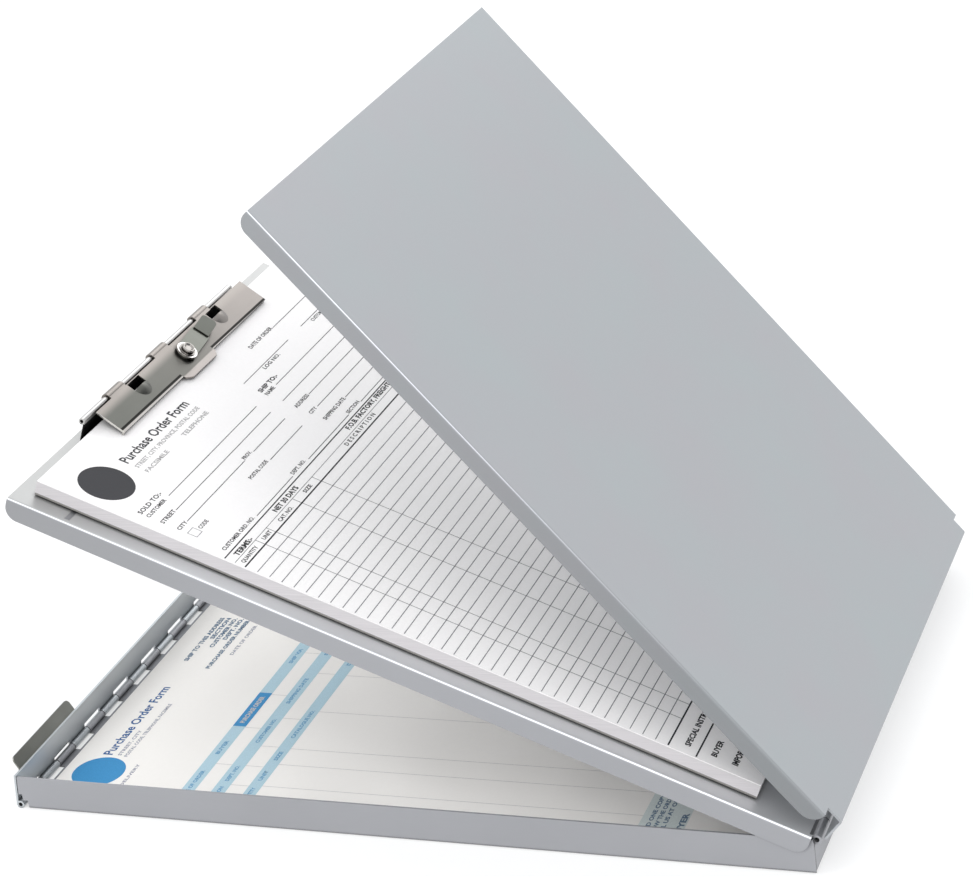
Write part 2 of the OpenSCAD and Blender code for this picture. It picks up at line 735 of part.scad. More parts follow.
// The lever turns on the stud's shank.
module lock_lever() {
    color("dimgray") on_stud() rotate([0, 0, lever_turn]) translate([0, 0, lever_z]) difference() {
        union() {
            cylinder(r = lever_w / 2, h = tab_t);
            translate([0, -lever_w / 2, 0]) cube([lever_l, lever_w, tab_t]);
            translate([lever_l, 0, 0]) rotate([0, -lever_bend, 0]) lever_tab();
        }
        translate([0, 0, -cut]) cylinder(r = stud_shank_r + pin_clearance, h = tab_t + 2 * cut);
    }
}

// ---------------------------------------------------------------- paper

module pad_layer(bottom, thickness) {
    on_plate() translate([pad_x - paper_w / 2, pad_y - paper_l, leaf_r + base_t + bottom])
        cube([paper_w, paper_l, thickness]);
}

module pad_board() {
    color("tan") pad_layer(0, board_t);
}

module pad_sheets() {
    color("white") pad_layer(board_t, pad_t - board_t - top_sheet_t);
}

module pad_top_sheet() {
    color("white") pad_layer(pad_t - top_sheet_t, top_sheet_t);
}

module form_layer(back, bottom, thickness) {
    on_tray() translate([-paper_w / 2, gate_pin_y - forms_gap - back - paper_l, sheet_t + bottom])
        cube([paper_w, paper_l, thickness]);
}

module tray_forms() {
    color("ivory") form_layer(0, 0, forms_t - top_sheet_t);
}

module tray_top_form() {
    color("ivory") form_layer(top_form_back, forms_t - top_sheet_t, top_sheet_t);
}

tray();
hinge_pin();
writing_plate();
cover();
gate();
gate_pin();
thumb_tab();
tab_rivets();
clip_base();
clip_rivets();
clip_pin();
clip_jaw();
stud();
stud_washer();
lever_washer();
lock_lever();
pad_board();
pad_sheets();
pad_top_sheet();
tray_forms();
tray_top_form();
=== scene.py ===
"""Looks for the storage clipboard box: sheet aluminium, steel clip, pad and forms."""
import math

import bmesh
import bpy
from mathutils import Matrix, Vector


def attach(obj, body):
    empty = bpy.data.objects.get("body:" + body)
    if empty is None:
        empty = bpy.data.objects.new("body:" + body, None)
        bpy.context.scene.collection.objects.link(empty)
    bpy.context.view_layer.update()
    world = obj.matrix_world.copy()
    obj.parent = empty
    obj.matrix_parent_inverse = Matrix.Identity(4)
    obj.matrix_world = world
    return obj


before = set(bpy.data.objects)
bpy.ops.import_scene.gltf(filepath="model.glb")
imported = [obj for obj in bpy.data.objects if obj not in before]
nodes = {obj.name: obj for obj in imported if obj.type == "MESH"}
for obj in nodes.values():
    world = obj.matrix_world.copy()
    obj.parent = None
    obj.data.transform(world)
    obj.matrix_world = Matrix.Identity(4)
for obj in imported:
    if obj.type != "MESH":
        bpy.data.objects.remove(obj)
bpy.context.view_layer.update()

MM = 0.001
PLATE_TILT = math.radians(22.5)
COVER_TILT = math.radians(51.2)
# From its pin the jaw slopes down to the pad, so it is steeper than the plate.
JAW_TILT = PLATE_TILT + math.radians(15.862)
HINGE = Vector((0, -157.1, 13.0)) * MM
CLIP_PIN = Vector((0, 121.958, 141.524)) * MM
# As a factor or a mask, white keeps all of a colour and black keeps none of it.
WHITE = (1.0, 1.0, 1.0)
BLACK = (0.0, 0.0, 0.0)


# ---------------------------------------------------------------- materials

def new_material(name):
    """An empty node material with its Principled shader, ready for a pattern."""
    material = bpy.data.materials.new(name)
    material.use_nodes = True
    tree = material.node_tree
    shader = tree.nodes["Principled BSDF"]
    return material, tree, shader


def add(tree, kind, **settings):
    """Adds a node and sets its properties."""
    node = tree.nodes.new(kind)
    for key, value in settings.items():
        setattr(node, key, value)
    return node


def set_inputs(node, **values):
    """Sets constants on the inputs named by the keywords, with a space for each underscore."""
    for key, value in values.items():
        node.inputs[key.replace("_", " ")].default_value = value


def object_pattern(tree, stretch=(1, 1, 1)):
    """Object coordinates through a Mapping node, stretched along the grain."""
    place = add(tree, "ShaderNodeTexCoord")
    mapping = add(tree, "ShaderNodeMapping")
    mapping.inputs["Scale"].default_value = stretch
    tree.links.new(place.outputs["Object"], mapping.inputs["Vector"])
    return mapping.outputs["Vector"]


def leaf_place(tree, origin, tilt):
    """Millimetres from a place along X, up a sheet that is tilted about X, and off its face."""
    place = add(tree, "ShaderNodeTexCoord")
    mapping = add(tree, "ShaderNodeMapping", vector_type="TEXTURE")
    mapping.inputs["Location"].default_value = origin
    mapping.inputs["Rotation"].default_value = (tilt, 0, 0)
    mapping.inputs["Scale"].default_value = (MM, MM, MM)
    tree.links.new(place.outputs["Object"], mapping.inputs["Vector"])
    parts = add(tree, "ShaderNodeSeparateXYZ")
    tree.links.new(mapping.outputs["Vector"], parts.inputs["Vector"])
    return parts.outputs


def either_side(tree, value):
    """The distance from the middle, the same on the left and on the right."""
    node = add(tree, "ShaderNodeMath", operation="ABSOLUTE")
    tree.links.new(value, node.inputs[0])
    return node.outputs[0]


def fade(tree, value, start, end):
    """Zero on the start's side and one on the end's side, with a soft step between them."""
    node = add(tree, "ShaderNodeMapRange", interpolation_type="SMOOTHSTEP")
    set_inputs(node, From_Min=start, From_Max=end)
    tree.links.new(value, node.inputs["Value"])
    return node.outputs["Result"]


def mixed(tree, factor, first, second, blend="MIX"):
    """Two colours mixed by a factor. Each is a colour or another node's output."""
    node = add(tree, "ShaderNodeMix", data_type="RGBA", blend_type=blend)
    sockets = (node.inputs[0], node.inputs[6], node.inputs[7])
    for socket, value in zip(sockets, (factor, first, second)):
        if isinstance(value, bpy.types.NodeSocket):
            tree.links.new(value, socket)
        elif isinstance(value, tuple):
            socket.default_value = (*value, 1.0)
        else:
            socket.default_value = value
    return node.outputs[2]


def times(tree, first, second):
    """The product of two colours or masks."""
    return mixed(tree, 1.0, first, second, "MULTIPLY")


def noise(tree, vector, scale, detail=3.0, roughness=0.5):
    """A soft random pattern from 0 to 1."""
    node = add(tree, "ShaderNodeTexNoise")
    set_inputs(node, Scale=scale, Detail=detail, Roughness=roughness)
    tree.links.new(vector, node.inputs["Vector"])
    return node.outputs["Fac"]


def ramp(tree, value, stops):
    """A colour ramp through (position, grey or colour) stops."""
    node = add(tree, "ShaderNodeValToRGB")
    elements = node.color_ramp.elements
    while len(elements) < len(stops):
        elements.new(0.5)
    for element, (position, colour) in zip(elements, stops):
        element.position = position
        if not isinstance(colour, tuple):
            colour = (colour, colour, colour)
        element.color = (*colour, 1.0)
    tree.links.new(value, node.inputs["Fac"])
    return node.outputs["Color"]


def span(tree, value, low, high):
    """Maps a 0 to 1 pattern onto a range of a shader input."""
    node = add(tree, "ShaderNodeMapRange")
    set_inputs(node, To_Min=low, To_Max=high)
    tree.links.new(value, node.inputs["Value"])
    return node.outputs["Result"]


def bump(tree, shader, height, strength, distance):
    """Roughens the shading of a surface by a height pattern."""
    node = add(tree, "ShaderNodeBump")
    set_inputs(node, Strength=strength, Distance=distance)
    tree.links.new(height, node.inputs["Height"])
    tree.links.new(node.outputs["Normal"], shader.inputs["Normal"])


# How fine each pattern is, about as the number of its spots in a metre.
GRAIN_SCALE = 2600
MOTTLE_SCALE = 22
FIBRE_SCALE = 900
BEND_SCALE = 16
SPECKLE_SCALE = 4000
# How far the painted shade reaches out of a corner, and how it darkens the metal there.
PAINTED_SHADE_REACH = 1.6 * MM
PAINTED_SHADE_TONES = [(0.35, 0.3), (0.95, 1.0)]


def sheet_metal(name, dark, light, roughness, metallic=1.0, grain=(1, 1, 1), shade=None):
    """Rolled sheet: a fine grain, a slow mottle, and painted shade in corners and by other pieces.

    Shade is a function that makes a factor for the colour, which differs from place to place.
    """
    material, tree, shader = new_material(name)
    vector = object_pattern(tree, grain)
    fine = noise(tree, vector, GRAIN_SCALE, 2.0)
    slow = noise(tree, object_pattern(tree), MOTTLE_SCALE, 4.0, 0.6)
    colour = ramp(tree, slow, [(0.3, dark), (0.7, light)])
    if shade:
        colour = times(tree, colour, shade(tree))
    # Painted shade: an occlusion node darkens the colour in corners and where pieces meet, where shadow
    # falls.
    corner_shade = add(tree, "ShaderNodeAmbientOcclusion", samples=4)
    set_inputs(corner_shade, Distance=PAINTED_SHADE_REACH)
    colour = times(tree, colour, ramp(tree, corner_shade.outputs["AO"], PAINTED_SHADE_TONES))
    tree.links.new(colour, shader.inputs["Base Color"])
    tree.links.new(span(tree, fine, roughness - 0.05, roughness + 0.07), shader.inputs["Roughness"])
    set_inputs(shader, Metallic=metallic)
    bump(tree, shader, fine, 0.12, 0.03 * MM)
    return material


def paper(name, light, dark, streaks=(1, 1, 1), scale=FIBRE_SCALE, waves=0.0):
    """Matt paper with its fibre. Waves is how far a loose sheet's soft bends lift, in metres."""
    material, tree, shader = new_material(name)
    vector = object_pattern(tree, streaks)
    fibre = noise(tree, vector, scale, 3.0, 0.6)
    tree.links.new(ramp(tree, fibre, [(0.25, dark), (0.75, light)]), shader.inputs["Base Color"])
    set_inputs(shader, Roughness=0.75)
    shader.inputs["Specular IOR Level"].default_value = 0.25
    if waves:
        bump(tree, shader, noise(tree, object_pattern(tree), BEND_SCALE, 1.0), 1.0, waves)
    else:
        bump(tree, shader, fibre, 0.1, 0.05 * MM)
    return material


def ink(name, colour):
    """Matt ink, a little uneven."""
    material, tree, shader = new_material(name)
    speckle = noise(tree, object_pattern(tree), SPECKLE_SCALE, 2.0)
    dark = tuple(0.82 * c for c in colour)
    tree.links.new(ramp(tree, speckle, [(0.3, dark), (0.7, colour)]), shader.inputs["Base Color"])
    set_inputs(shader, Roughness=0.6)
    shader.inputs["Specular IOR Level"].default_value = 0.2
    return material


def dress(node, material):
    """Gives every slot of a carried-over node the finished material."""
    mesh = nodes[node].data
    if not mesh.materials:
        mesh.materials.append(material)
    for index in range(len(mesh.materials)):
        mesh.materials[index] = material


# Each mask below has a start and an end for its soft step, in millimetres.
# Along the jaw: through its painted shade and reflection, past its cut end's painted highlight, and past
# the start and the end of the lift lip.
JAW_SHADE_FADE = (-62, 90)
JAW_CUT_END_HIGHLIGHT = (-57.95, -57.85)
LIP_START = (-7.3, -7.1)
LIP_END = (19.9, 20.2)
# Across the jaw: onto its face from the lift lip, and onto its back, painted paler as a reflection, from
# its face.
JAW_FACE = (-15.0, -14.4)
JAW_BACK_REFLECTION = (-6.5, -2.2)
# Into the painted shadow line by the front edge, out of it, and into the painted highlight on the rim
# beyond it.
CREASE_SHADOW_START = (-12.95, -13.1)
CREASE_SHADOW_STOP = (-14.1, -13.95)
RIM_HIGHLIGHT_START = (-14.05, -14.2)
# How far those lines drift across the jaw for each millimetre along it.
EDGE_DRIFT = 0.008
# The painted shade and reflection on the jaw's face, from its -X end to its other end.
JAW_SHADE_TONES = [
    (0.0, (0.27, 0.28, 0.26)), (0.35, (0.32, 0.32, 0.30)), (0.55, (0.40, 0.39, 0.37)),
    (0.75, (0.52, 0.49, 0.47)), (1.0, (0.60, 0.56, 0.54)),
]


def painted_front_lines(tree, along, across):
    """Masks of the painted shadow line and the painted rim highlight by the jaw's front edge, beside the
    lift lip.
    """
    beside = mixed(tree, fade(tree, along, *LIP_START), WHITE, fade(tree, along, *LIP_END))
    drift = add(tree, "ShaderNodeMath", operation="MULTIPLY_ADD")
    tree.links.new(along, drift.inputs[0])
    drift.inputs[1].default_value = EDGE_DRIFT
    tree.links.new(across, drift.inputs[2])
    place = drift.outputs[0]
    crease_shadow = times(tree, fade(tree, place, *CREASE_SHADOW_START), fade(tree, place, *CREASE_SHADOW_STOP))
    rim_highlight = fade(tree, place, *RIM_HIGHLIGHT_START)
    return times(tree, crease_shadow, beside), times(tree, rim_highlight, beside)


def jaw_shade(tree):
    """Painted reflections on the jaw: its face is darker towards the -X end, its back paler, its cut end a
    highlight. Its lift lip is pale.
    """
    along, across, _ = leaf_place(tree, CLIP_PIN, JAW_TILT)
    # Painted shade and reflection along the face.
    plain = ramp(tree, fade(tree, along, *JAW_SHADE_FADE), JAW_SHADE_TONES)
    lip = mixed(tree, fade(tree, across, *JAW_FACE), (0.66, 0.62, 0.60), plain)
    # A paler painted reflection on the back.
    back = mixed(tree, fade(tree, across, *JAW_BACK_REFLECTION), lip, (0.66, 0.62, 0.59))
    crease_shadow, rim_highlight = painted_front_lines(tree, along, across)
    # A painted shadow along the bend of the front lip.
    with_crease_shadow = mixed(tree, crease_shadow, back, (0.02, 0.02, 0.018))
    # A painted highlight on the rim beyond it.
    with_rim_highlight = mixed(tree, rim_highlight, with_crease_shadow, (0.8, 0.78, 0.76))
    # A painted highlight on the cut end.
    return mixed(tree, fade(tree, along, *JAW_CUT_END_HIGHLIGHT), (1.6, 1.6, 1.55), with_rim_highlight)


# Heights from the clip's pin, between the base's black upright and its bright knuckles.
BASE_BRIGHT = (-1.05, -0.75)


def base_shade(tree):
    """The base is black below its knuckles."""
    _, _, height = leaf_place(tree, CLIP_PIN, PLATE_TILT)
    return mixed(tree, fade(tree, height, *BASE_BRIGHT), (0.03, 0.03, 0.03), WHITE)


# The masks below paint highlights on the folds and shade on the flanges.
# Where the round of a side fold begins and ends, sideways from the leaf's middle.
COVER_FOLD = (-112.8, -113.25)
PLATE_FOLD = (112.72, 113.32)
# The lowest height of the round that has a painted highlight, from the hinge.
COVER_FOLD_LOW = 9.9
PLATE_FOLD_LOW = 0.8
# The softness of a fold's mask, sideways and upwards.
FOLD_SOFT = 0.2
FOLD_SOFT_LOW = 0.1
# Sideways, from the cover's top onto its flanges, and onto the fold on the +X side, both with painted
# shade.
COVER_FLANGE = (112.4, 112.9)
COVER_SHADED_FOLD = (112.2, 112.6)
# Heights from the hinge, between the plate's flanges and its top face.
PLATE_TOP = (1.45, 1.6)
# Along a leaf from the hinge, where a painted shade or highlight starts and stops changing.
COVER_FLANGE_SHADE_FADE = (-40, 330)
COVER_FOLD_LIGHT_FADE = (40, 280)
PLATE_FLANGE_SHADE_FADE = (180, 312)
PLATE_TOP_LIGHT_FADE = (220, 312)


def fold_mask(tree, side, height, fold, lowest):
    """One on the round of a side fold, above the lowest height, and zero elsewhere."""
    inner, outer = fold
    soft = math.copysign(FOLD_SOFT, outer - inner)
    within = fade(tree, side, inner, inner + soft)
    round_part = mixed(tree, fade(tree, side, outer - soft, outer), within, BLACK)
    return times(tree, round_part, fade(tree, height, lowest - FOLD_SOFT_LOW, lowest + FOLD_SOFT_LOW))


def cover_shade(tree):
    """Painted shade darkens the cover's flanges and +X fold. Its -X fold has painted shade near the hinge
    and a painted highlight towards the free end.
    """
    side, along, height = leaf_place(tree, HINGE, COVER_TILT)
    # Painted shade on the flanges, darker near the hinge.
    cover_flange_shade = mixed(tree, fade(tree, along, *COVER_FLANGE_SHADE_FADE), (0.66, 0.66, 0.66), (0.84, 0.84, 0.84))
    plain = mixed(tree, fade(tree, either_side(tree, side), *COVER_FLANGE), WHITE, cover_flange_shade)
    # On the -X fold, painted shade near the hinge and a painted highlight towards the free end.
    fold_light = mixed(tree, fade(tree, along, *COVER_FOLD_LIGHT_FADE), (0.7, 0.7, 0.7), (1.9, 1.9, 1.95))
    # Painted shade on the +X fold.
    with_fold_shade = mixed(tree, fade(tree, side, *COVER_SHADED_FOLD), plain, (0.72, 0.72, 0.73))
    return mixed(tree, fold_mask(tree, side, height, COVER_FOLD, COVER_FOLD_LOW), with_fold_shade, fold_light)


def plate_shade(tree):
    """The plate's folds have a painted highlight, its top is painted paler towards the hinge, and its
    flanges darker towards the free end.
    """
    side, along, height = leaf_place(tree, HINGE, PLATE_TILT)
    # Painted light on the top, strongest near the hinge, where the cover shades it.
    pale = mixed(tree, fade(tree, along, *PLATE_TOP_LIGHT_FADE), (1.8, 1.8, 1.74), (1.16, 1.15, 1.08))
    # Painted shade on the flanges towards the free end.
    plate_flange_shade = mixed(tree, fade(tree, along, *PLATE_FLANGE_SHADE_FADE), WHITE, (0.84, 0.84, 0.83))
    top = mixed(tree, fade(tree, height, *PLATE_TOP), plate_flange_shade, pale)
    # A painted highlight on the folds.
    fold = fold_mask(tree, either_side(tree, side), height, PLATE_FOLD, PLATE_FOLD_LOW)
    return mixed(tree, fold, top, (2.3, 2.3, 2.3))


# The rolled grain of the large sheets runs along Y.
ROLLED = {"roughness": 0.42, "metallic": 0.7, "grain": (1, 0.06, 1)}
MILL_TONES = ((0.378, 0.382, 0.402), (0.392, 0.396, 0.417))
COVER_TONES = ((0.408, 0.408, 0.428), (0.396, 0.423, 0.436))
ALUMINIUM = sheet_metal("aluminium", *MILL_TONES, **ROLLED)
PLATE = sheet_metal("plate_aluminium", *MILL_TONES, shade=plate_shade, **ROLLED)
COVER = sheet_metal("cover_aluminium", *COVER_TONES, shade=cover_shade, **ROLLED)
# The gate is the same aluminium as the tray, painted paler and bluer as a lit copy of it.
GATE = sheet_metal("gate_aluminium", (0.53, 0.56, 0.58), (0.56, 0.59, 0.61), 0.42)
PIN_STEEL = sheet_metal("pin_steel", (0.05, 0.05, 0.05), (0.09, 0.09, 0.09), 0.35)
JAW_STEEL = sheet_metal("jaw_steel", (0.42, 0.41, 0.40), (0.48, 0.47, 0.46), 0.3, shade=jaw_shade)
STUD_STEEL = sheet_metal("stud_steel", (0.36, 0.34, 0.32), (0.42, 0.40, 0.38), 0.16)
BASE_STEEL = sheet_metal("base_steel", (0.55, 0.54, 0.53), (0.62, 0.61, 0.6), 0.3, shade=base_shade)
LEVER_STEEL = sheet_metal("lever_steel", (0.17, 0.175, 0.155), (0.21, 0.215, 0.195), 0.3)
BRIGHT_STEEL = sheet_metal("bright_steel", (0.7, 0.68, 0.66), (0.8, 0.78, 0.76), 0.2)
TAB_STEEL = sheet_metal("tab_steel", (0.21, 0.215, 0.195), (0.33, 0.33, 0.30), 0.3)
PAPER = paper("pad_paper", (0.93, 0.91, 0.905), (0.90, 0.88, 0.875))
PAPER_EDGES = paper("pad_edges", (0.70, 0.67, 0.68), (0.54, 0.52, 0.53), streaks=(1, 0.02, 6), scale=1400)
BOARD = paper("pad_board", (0.27, 0.26, 0.25), (0.22, 0.21, 0.20))
FORM_PAPER = paper("form_paper", (0.93, 0.905, 0.87), (0.91, 0.885, 0.85), waves=4 * MM)
BLACK_INK = ink("black_ink", (0.025, 0.025, 0.028))
GREY_INK = ink("grey_ink", (0.18, 0.18, 0.19))
HEADING_INK = ink("heading_ink", (0.045, 0.045, 0.05))
PALE_INK = ink("pale_ink", (0.42, 0.41, 0.41))
BLUE_INK = ink("blue_ink", (0.05, 0.3, 0.61))
NAVY_INK = ink("navy_ink", (0.035, 0.13, 0.34))
RULE_INK = ink("rule_ink", (0.62, 0.61, 0.60))
ADDRESS_INK = ink("address_ink", (0.34, 0.35, 0.43))
LABEL_INK = ink("label_ink", (0.16, 0.38, 0.60))
SLATE_INK = ink("slate_ink", (0.15, 0.23, 0.33))
BAND_INK = ink("band_ink", (0.50, 0.70, 0.80))
FOOT_INK = ink("foot_ink", (0.76, 0.83, 0.82))

for node, material in {
    "tray": ALUMINIUM, "writing_plate": PLATE, "cover": COVER, "gate": GATE,
    "hinge_pin": PIN_STEEL, "gate_pin": PIN_STEEL, "clip_pin": PIN_STEEL,
    "thumb_tab": TAB_STEEL, "tab_rivets": GATE,
    "clip_base": BASE_STEEL, "clip_rivets": BRIGHT_STEEL, "clip_jaw": JAW_STEEL,
    "stud": STUD_STEEL, "stud_washer": BRIGHT_STEEL, "lever_washer": BRIGHT_STEEL,
    "lock_lever": LEVER_STEEL, "pad_board": BOARD, "pad_sheets": PAPER_EDGES,
    "pad_top_sheet": PAPER, "tray_forms": FORM_PAPER, "tray_top_form": FORM_PAPER,
}.items():
    dress(node, material)


# ---------------------------------------------------------------- places

def hinge_frame(tilt):
    """Turns millimetres along a leaf of the main hinge into a place in the room."""
    return Matrix.Translation(HINGE) @ Matrix.Rotation(tilt, 4, "X") @ Matrix.Scale(MM, 4)


TRAY_FRAME = Matrix.Translation((0, -0.15625, 0)) @ Matrix.Scale(MM, 4)
PLATE_FRAME = hinge_frame(PLATE_TILT)
# A sheet's frame starts by its top left corner: X runs right and Y up, so its rows have negative Y.
PAD_SHEET = PLATE_FRAME @ Matrix.Translation((-105.7, 304.1, 8.05))
TRAY_SHEET = TRAY_FRAME @ Matrix.Translation((-107.95, 305.8, 1.8))
# How far ink lies above its sheet, or above the ink that it is printed on.
INK_LIFT = 0.03


def overprint(sheet):
    """The frame for ink that is printed on a sheet's other ink."""
    return sheet @ Matrix.Translation((0, 0, INK_LIFT))


TRAY_BAND_PRINT = overprint(TRAY_SHEET)
TRAY_TITLE_PRINT = overprint(TRAY_BAND_PRINT)


def finish_piece(name, shape, material, body):
    """Makes a mesh piece of a finished bmesh, and sets the body that it rides on."""
    mesh = bpy.data.meshes.new(name)
    shape.to_mesh(mesh)
    shape.free()
    mesh.materials.append(material)
    piece = bpy.data.objects.new(name, mesh)
    bpy.context.collection.objects.link(piece)
    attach(piece, body)


# ---------------------------------------------------------------- printed forms

def bar(shape, sheet, left, right, row, width):
    """A printed bar across a sheet, from left to right, with its middle on the row."""
    place = Matrix.Translation(((left + right) / 2, -row, INK_LIFT))
    size = Matrix.Diagonal((right - left, width, 1, 1))
    bmesh.ops.create_grid(shape, x_segments=1, y_segments=1, size=0.5, matrix=sheet @ place @ size)


def column(shape, sheet, across, top, bottom, width):
    """A printed rule down a sheet, between two rows."""
    bar(shape, sheet, across - width / 2, across + width / 2, (top + bottom) / 2, bottom - top)


# The height of the font's capitals, for a text size of one.
CAPITAL = 0.7
# How much the letters' outlines are thickened, for a text size of one. The last is for headings.
REGULAR = 0.025
BOLD = 0.04
HEADING = 0.022


def words(shape, sheet, text, left, right, row, height, weight=REGULAR):
    """Text with capitals of the given height, spread from left to right, with its middle on the row."""
    curve = bpy.data.curves.new("words", "FONT")
    curve.body = text
    curve.resolution_u = 2
    curve.offset = weight
    holder = bpy.data.objects.new("words", curve)
    bpy.context.collection.objects.link(holder)
    bpy.context.view_layer.update()
    mesh = bpy.data.meshes.new_from_object(holder)
    across = [corner.co.x for corner in mesh.vertices]
    low, high = min(across), max(across)
    place = Matrix.Translation((left, -row - height / 2, INK_LIFT))
    size = Matrix.Diagonal(((right - left) / (high - low), height / CAPITAL, 1, 1))
    mesh.transform(sheet @ place @ size @ Matrix.Translation((-low, 0, 0)))
    shape.from_mesh(mesh)
    bpy.data.objects.remove(holder)
    bpy.data.meshes.remove(mesh)


def labels(shape, sheet, entries, weight=REGULAR):
    """Text from a list of entries, each with a text, its left and right ends, its row and its height."""
    for entry in entries:
        words(shape, sheet, *entry, weight)


def disc(shape, sheet, across, row, radius):
    """A printed disc with its middle at a place across and down the sheet."""
    place = Matrix.Translation((across, -row, INK_LIFT))
    bmesh.ops.create_circle(shape, cap_ends=True, segments=64, radius=radius, matrix=sheet @ place)


# Places on a form are in millimetres across it, and rows are measured down from its top edge.
FORM_LEFT = 1.0
FORM_RIGHT = 210
# The pad's order table: the rules above and below its head, its rows of three sixteenths of an
# inch, its left end and the rules between its columns.
TABLE_HEAD = 79.3
TABLE_TOP = 83.3
ROW_PITCH = 4.7625
ROWS = 34
TABLE_BOTTOM = TABLE_TOP + ROWS * ROW_PITCH
TABLE_LEFT = 1.2
TABLE_COLUMNS = (18.6, 28.3, 52.0, 70.4)
# Each entry has the row and the width of a rule right across the form.
PAD_LONG_RULES = ((75.2, 0.5), (TABLE_HEAD, 0.2), (TABLE_TOP, 0.6), (TABLE_BOTTOM, 0.6), (255.6, 0.6))
# The small box for a code: its sides, its rows, and the rows from which and to which its sides run.
CODE_SIDES = (6.4, 10.8)
CODE_ROWS = (57.9, 61.7)
CODE_SPAN = (57.8, 61.8)
# The widths of the other rules.
FIELD_RULE = 0.3
TABLE_RULE = 0.32
THIN_RULE = 0.25
# Each entry has a rule's left end, right end and row.
PAD_RULES = (
    (23.3, 101.3, 42.2), (16.8, 101.2, 48.3), (13.0, 63.5, 54.6), (71.3, 101.0, 54.6),
    (70.5, 101.0, 62.0), (33.0, 66.0, 73.4), (81.0, 121.0, 73.4), (133.5, FORM_RIGHT, 73.4),
    (160.7, FORM_RIGHT, 22.6), (112.9, 156.4, 31.4), (170.0, FORM_RIGHT, 31.1),
    (121.4, FORM_RIGHT, 41.7), (112.2, FORM_RIGHT, 48.7), (124.0, FORM_RIGHT, 54.8),
    (118.0, FORM_RIGHT, 61.1), (132.2, FORM_RIGHT, 67.2),
)
# Each entry has a text, its left and right ends, its row and its height.
PAD_LABELS = (
    ("SOLD TO:-", 6.0, 23.0, 38.8, 1.9), ("CUSTOMER", 6.0, 20.3, 42.1, 1.6),
    ("STREET", 6.0, 16.4, 47.8, 1.7), ("CITY", 6.2, 12.8, 54.3, 1.6), ("PROV.", 64.0, 70.6, 53.6, 1.6),
    ("CODE", 12.0, 18.5, 60.0, 1.6), ("POSTAL CODE", 53.6, 69.0, 61.1, 1.6),
    ("CUSTOMER ORD. NO.", 5.4, 31.4, 72.6, 1.6), ("DEPT. NO.", 67.2, 79.0, 72.4, 1.6),
    ("SECTION", 121.8, 133.0, 72.4, 1.6), ("QUANTITY", 3.0, 15.4, 81.3, 1.6),
    ("UNIT", 21.0, 27.5, 81.3, 1.6), ("CAT. NO.", 35.4, 47.0, 81.3, 1.6),
    ("SIZE", 59.0, 65.3, 81.1, 1.6), ("D E S C R I P T I O N", 99.8, 128.8, 81.0, 1.7),
    ("LOG NO.", 129.0, 143.6, 32.9, 1.6), ("CUSTOMER NO.", 177.6, 195.0, 32.8, 1.6),
    ("NAME", 111.7, 119.2, 41.6, 1.7), ("ADDRESS", 111.2, 123.4, 54.5, 1.7),
    ("CITY", 111.2, 117.0, 60.8, 1.6), ("SHIPPING DATE", 111.2, 131.2, 67.0, 1.7),
    ("DATE OF ORDER", 139.3, 160.3, 21.9, 1.8),
)
PAD_BOLD_LABELS = (
    ("TERMS:-", 5.4, 18.8, 77.5, 2.0), ("NET 30 DAYS", 40.0, 60.6, 77.3, 2.0),
    ("F.O.B. FACTORY, FREIGHT COLLECT", 111.0, 172.0, 76.9, 2.0), ("SHIP TO:-", 111.8, 128.0, 38.7, 1.9),
    ("SPECIAL INSTRUCTIONS", 5.0, 41.0, 251.2, 2.0), ("BUYER", 5.2, 15.6, 260.9, 2.0),
    ("IMPORTANT", 5.2, 22.5, 268.7, 2.2),
)
PAD_HEADING = ("Purchase Order Form", 32.0, 84.8, 19.2, 4.0)
PAD_PALE_LABELS = (
    ("STREET, CITY, PROVINCE, POSTAL CODE", 32.0, 85.0, 24.6, 1.8),
    ("FACSIMILE            TELEPHONE", 32.0, 84.5, 28.8, 1.8),
)
# A disc's place across the form, its row and its radius.
PAD_DISC = (15.5, 20.8, 10.6)
TRAY_DISC = (21.6, 15.3, 10.6)


def print_pad_form():
    """The order form on the pad: labels, rules, an order table and a heading."""
    black = bmesh.new()
    for left, right, row in PAD_RULES:
        bar(black, PAD_SHEET, left, right, row, FIELD_RULE)
    labels(black, PAD_SHEET, PAD_LABELS)
    labels(black, PAD_SHEET, PAD_BOLD_LABELS, BOLD)
    for row, width in PAD_LONG_RULES:
        bar(black, PAD_SHEET, FORM_LEFT, FORM_RIGHT, row, width)
    finish_piece("pad_print_black", black, BLACK_INK, "plate")

    grey = bmesh.new()
    for line in range(1, ROWS):
        bar(grey, PAD_SHEET, TABLE_LEFT, FORM_RIGHT, TABLE_TOP + line * ROW_PITCH, TABLE_RULE)
    for across in TABLE_COLUMNS:
        column(grey, PAD_SHEET, across, TABLE_HEAD, TABLE_BOTTOM, FIELD_RULE)
    for row in CODE_ROWS:
        bar(grey, PAD_SHEET, *CODE_SIDES, row, THIN_RULE)
    for across in CODE_SIDES:
        column(grey, PAD_SHEET, across, *CODE_SPAN, THIN_RULE)
    finish_piece("pad_print_grey", grey, GREY_INK, "plate")

    heading = bmesh.new()
    words(heading, PAD_SHEET, *PAD_HEADING, HEADING)
    disc(heading, PAD_SHEET, *PAD_DISC)
    finish_piece("pad_print_heading", heading, HEADING_INK, "plate")

    pale = bmesh.new()
    labels(pale, PAD_SHEET, PAD_PALE_LABELS)
    finish_piece("pad_print_pale", pale, PALE_INK, "plate")


# The ends of the printed bands.
BAND_ENDS = (6.0, 209.0)
# Each entry has a band's first and last row.
TRAY_BANDS = ((54.7, 60.3), (67.1, 72.9), (80.4, 85.7))
TRAY_FOOT = (236.4, 253.6)
# The dark box on the first band, with its left and right ends, its middle row and its height.
TITLE_BOX = (61.0, 87.0, 57.5, 5.6)
TITLE = ("PURCHASE ORDER", 63.5, 84.0, 57.5, 2.0)
TRAY_HEADING = ("Purchase Order Form", 34.0, 86.6, 12.7, 4.0)
